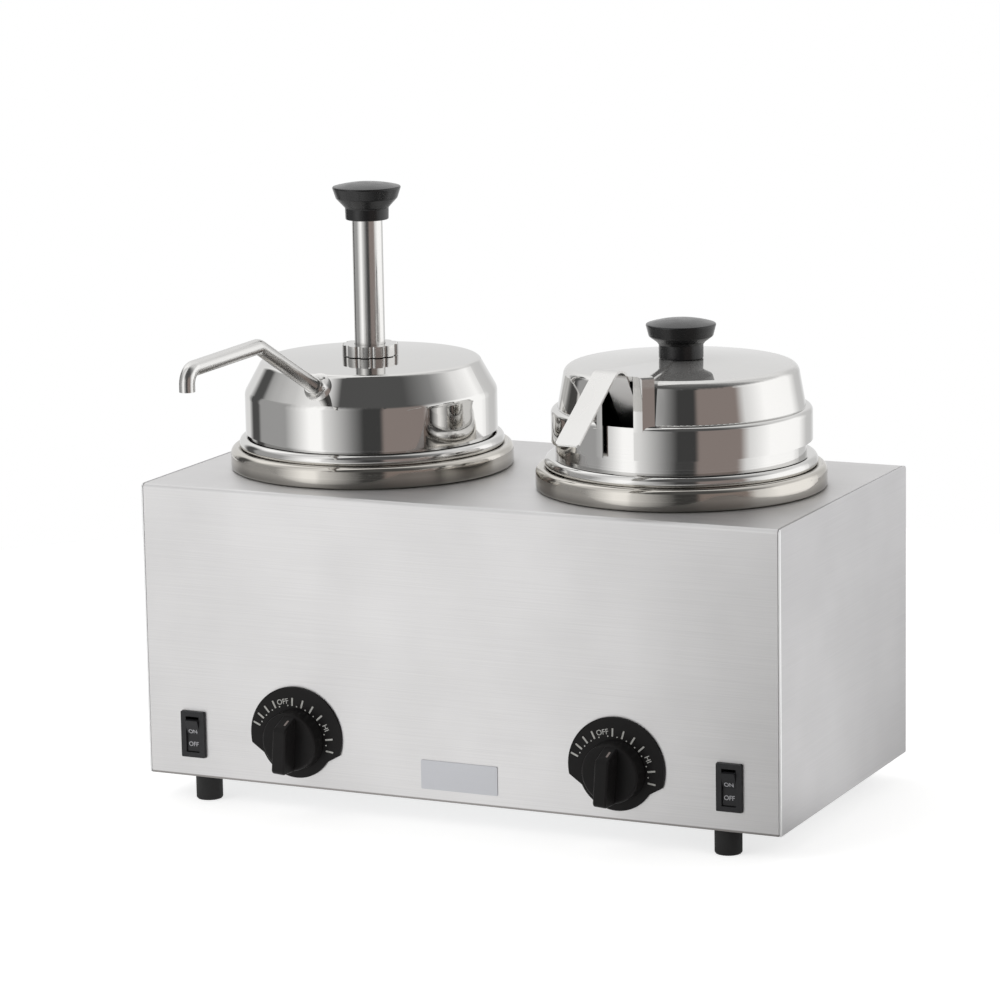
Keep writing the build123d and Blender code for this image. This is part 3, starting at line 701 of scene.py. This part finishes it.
class WARMER_OT_stage(bpy.types.Operator):
    """Sets the floor, the studio round it, the lamps and the camera"""

    bl_idname = "warmer.stage"
    bl_label = "Stage"

    # The room as metal mirrors it, low and high: degrees round from the camera to its right, and colour
    low_band = ((-180, "#E4E4E4"), (-146, "#E4E4E4"), (-136, "#4D4D4D"), (-124, "#4D4D4D"),
                (-119, "#989898"), (-84, "#989898"), (-57, "#FFFFFF"), (-46, "#FFFFFF"), (-42, "#DCDCDC"),
                (-16, "#7C7C7C"), (-6, "#3C3C3C"), (9, "#3C3C3C"), (13, "#837975"), (50, "#837975"),
                (59, "#D8D8D8"), (82, "#FFFFFF"), (122, "#FFFFFF"), (138, "#CCCCCC"), (152, "#CCCCCC"),
                (164, "#E4E4E4"), (180, "#E4E4E4"))
    high_band = ((-180, "#E4E4E4"), (-125, "#FFFFFF"), (-104, "#C8C8C8"), (-85, "#C8C8C8"),
                 (-68, "#E8E8E8"), (-50, "#E8E8E8"), (-34, "#4E4E4E"), (40, "#4E4E4E"), (72, "#858585"),
                 (100, "#D4D4D4"), (116, "#C8C8C8"), (142, "#E4E4E4"), (180, "#E4E4E4"))
    # Sines of the elevations between which the low band gives way to the high one
    low_until, high_from = 0.32, 0.6
    room_strength = 1.25
    # The floor as metal mirrors it, in columns before the front and beside the right end: shares of x
    # and y whose sum stays the same along a column, then that sum in metres and the floor's glow there
    front_columns = ((1, -0.466, 0), ((-0.60, 0.40), (-0.23, 0.45), (-0.12, 0.58), (0.02, 0.66),
                                      (0.10, 0.58), (0.17, 0.36), (0.24, 0.10), (0.32, 0.0)))
    side_columns = ((-2.667, 1, 0), ((-0.80, 0.66), (-0.64, 0.62), (-0.56, 0.54), (-0.42, 0.16),
                                     (-0.20, 0.08)))
    # Metres behind the origin between which the front's columns give way to the end's
    front_until, side_from = 0, 0.12
    # Glow that, with the light that falls on it, makes the floor look white
    floor_white = 0.69
    floor_rough, floor_gloss, floor_drop = 0.8, 0.2, 0.2 * MM
    # Name, place, width in metres and power in watts
    lamps = (("key softbox", (-1.6, -1.8, 1.9), 1.6, 16), ("side softbox", (2.0, -0.6, 1.5), 1.4, 8))
    aim = Vector((0, 0.06, 0.15))
    # How far the camera sees, in metres
    sight = 100

    def execute(self, context):
        studio = context.scene.warmer_studio
        self.lay_floor(studio)
        self.light_room(context.scene, studio)
        self.hang_lamps()
        self.place_camera(context.scene, studio)
        context.scene.view_settings.view_transform = "Standard"
        return {"FINISHED"}

    def bands(self, tree, value, stops):
        """Colours that change with a value; a stop is a value and the colour there."""
        start, end = stops[0][0], stops[-1][0]
        part = add_node(tree, "ShaderNodeMapRange", {0: value, 1: start, 2: end}).outputs[0]
        ramp = add_node(tree, "ShaderNodeValToRGB", {0: part})
        elements = ramp.color_ramp.elements
        elements.remove(elements[1])
        elements[0].position, elements[0].color = 0, rgba(stops[0][1])
        for place, tint in stops[1:]:
            elements.new((place - start) / (end - start)).color = rgba(tint)
        return ramp.outputs[0]

    def straight_on(self, tree):
        """1 for what the camera sees itself or through something clear, and 0 for all other light."""
        rays = add_node(tree, "ShaderNodeLightPath").outputs
        return add_node(tree, "ShaderNodeMath", {0: rays["Is Camera Ray"], 1: rays["Is Transmission Ray"]},
                        operation="MAXIMUM").outputs[0]

    def lay_floor(self, studio):
        """Lays a matt floor that looks white, keeps the shadow and is mirrored in soft grey columns."""
        begin()
        bpy.ops.mesh.primitive_circle_add(vertices=96, radius=studio.floor_radius, fill_type="NGON",
                                          location=(0, 0, -self.floor_drop))
        floor = bpy.context.object
        floor.name = "floor"
        material, tree, shader = new_material("pale floor paint")
        place = add_node(tree, "ShaderNodeTexCoord").outputs["Object"]
        columns = []
        for shares, stops in (self.front_columns, self.side_columns):
            across = add_node(tree, "ShaderNodeVectorMath", {0: place, 1: shares}, operation="DOT_PRODUCT")
            greys = [(far, (grey,) * 3) for far, grey in stops]
            columns.append(self.bands(tree, across.outputs["Value"], greys))
        back = add_node(tree, "ShaderNodeSeparateXYZ", {0: place}).outputs[Y]
        behind = add_node(tree, "ShaderNodeMapRange",
                          {0: back, 1: self.front_until, 2: self.side_from}).outputs[0]
        glow = add_node(tree, "ShaderNodeMix", {"Factor": behind, "A": columns[0], "B": columns[1]},
                        data_type="RGBA").outputs["Result"]
        white = (self.floor_white,) * 3 + (1,)
        light = add_node(tree, "ShaderNodeMix", {"Factor": self.straight_on(tree), "A": glow, "B": white},
                         data_type="RGBA").outputs["Result"]
        fill(tree, shader, {"Base Color": rgba(studio.floor_colour), "Roughness": self.floor_rough,
                            "Specular IOR Level": self.floor_gloss, "Emission Color": light,
                            "Emission Strength": 1.0})
        floor.data.materials.append(material)

    def light_room(self, scene, studio):
        """Makes a world that looks white; metal mirrors bands of grey in it, which also light the warmer."""
        world = bpy.data.worlds.new("studio")
        scene.world = world
        world.use_nodes = True
        tree = world.node_tree
        way = add_node(tree, "ShaderNodeTexCoord").outputs["Generated"]
        yaw = studio.camera_yaw
        right = (math.cos(yaw), math.sin(yaw), 0)
        near = (math.sin(yaw), -math.cos(yaw), 0)
        across, ahead = (add_node(tree, "ShaderNodeVectorMath", {0: way, 1: axis},
                                  operation="DOT_PRODUCT").outputs["Value"] for axis in (right, near))
        turn = add_node(tree, "ShaderNodeMath", {0: across, 1: ahead}, operation="ARCTAN2").outputs[0]
        low, high = (self.bands(tree, turn, [(math.radians(degrees), linear(tint)) for degrees, tint in band])
                     for band in (self.low_band, self.high_band))
        height = add_node(tree, "ShaderNodeSeparateXYZ", {0: way}).outputs[Z]
        up = add_node(tree, "ShaderNodeMapRange", {0: height, 1: self.low_until, 2: self.high_from},
                      interpolation_type="SMOOTHSTEP").outputs[0]
        room = add_node(tree, "ShaderNodeMix", {"Factor": up, "A": low, "B": high},
                        data_type="RGBA").outputs["Result"]
        white = (1 / self.room_strength,) * 3 + (1,)
        seen = add_node(tree, "ShaderNodeMix", {"Factor": self.straight_on(tree), "A": room, "B": white},
                        data_type="RGBA").outputs["Result"]
        fill(tree, tree.nodes["Background"], {"Color": seen, "Strength": self.room_strength})

    def hang_lamps(self):
        """Hangs soft lamps that light the warmer and aren't mirrored in it."""
        for name, place, size, power in self.lamps:
            begin()
            bpy.ops.object.light_add(type="AREA", location=place)
            lamp = bpy.context.object
            lamp.name = name
            lamp.data.size = size
            lamp.data.energy = power
            lamp.rotation_euler = (self.aim - Vector(place)).to_track_quat("-Z", "Y").to_euler()
            lamp.visible_glossy = False
            lamp.visible_camera = False

    def place_camera(self, scene, studio):
        """Stands the camera at the photograph's viewing angle."""
        begin()
        bpy.ops.object.camera_add(location=studio.camera_place)
        camera = bpy.context.object
        camera.data.lens = studio.camera_lens
        camera.data.sensor_width = studio.camera_sensor
        camera.data.clip_end = self.sight
        yaw, pitch, roll = studio.camera_yaw, studio.camera_pitch, studio.camera_roll
        level = Matrix.Rotation(yaw, 3, "Z") @ Matrix.Rotation(math.pi / 2 - pitch, 3, "X")
        camera.rotation_euler = (level @ Matrix.Rotation(roll, 3, "Z")).to_euler()
        scene.camera = camera


OPERATORS = (WARMER_OT_housing, WARMER_OT_vessels, WARMER_OT_pump, WARMER_OT_return_coil, WARMER_OT_ladle_set,
             WARMER_OT_mouldings, WARMER_OT_dial_scales, WARMER_OT_knob_marks, WARMER_OT_switch_words,
             WARMER_OT_front_plate, WARMER_OT_hidden_parts, WARMER_OT_stage)


class WARMER_PT_finish(bpy.types.Panel):
    """Lists the steps that finish the warmer"""

    bl_idname = "WARMER_PT_finish"
    bl_label = "Topping warmer"
    bl_space_type = "VIEW_3D"
    bl_region_type = "UI"
    bl_category = "Warmer"

    def draw(self, context):
        for step in OPERATORS:
            self.layout.operator(step.bl_idname)


SETTINGS = {"warmer_colours": WarmerColours, "warmer_sizes": WarmerSizes, "warmer_studio": StudioSettings}


def register():
    for group in SETTINGS.values():
        bpy.utils.register_class(group)
    for name, group in SETTINGS.items():
        setattr(bpy.types.Scene, name, PointerProperty(type=group))
    for step in (*OPERATORS, WARMER_PT_finish):
        bpy.utils.register_class(step)


def unregister():
    for step in (WARMER_PT_finish, *reversed(OPERATORS)):
        bpy.utils.unregister_class(step)
    for name in SETTINGS:
        delattr(bpy.types.Scene, name)
    for group in SETTINGS.values():
        bpy.utils.unregister_class(group)


def main():
    """Finishes the warmer step by step."""
    register()
    for step in OPERATORS:
        family, action = step.bl_idname.split(".")
        getattr(getattr(bpy.ops, family), action)()


if __name__ == "__main__":
    main()
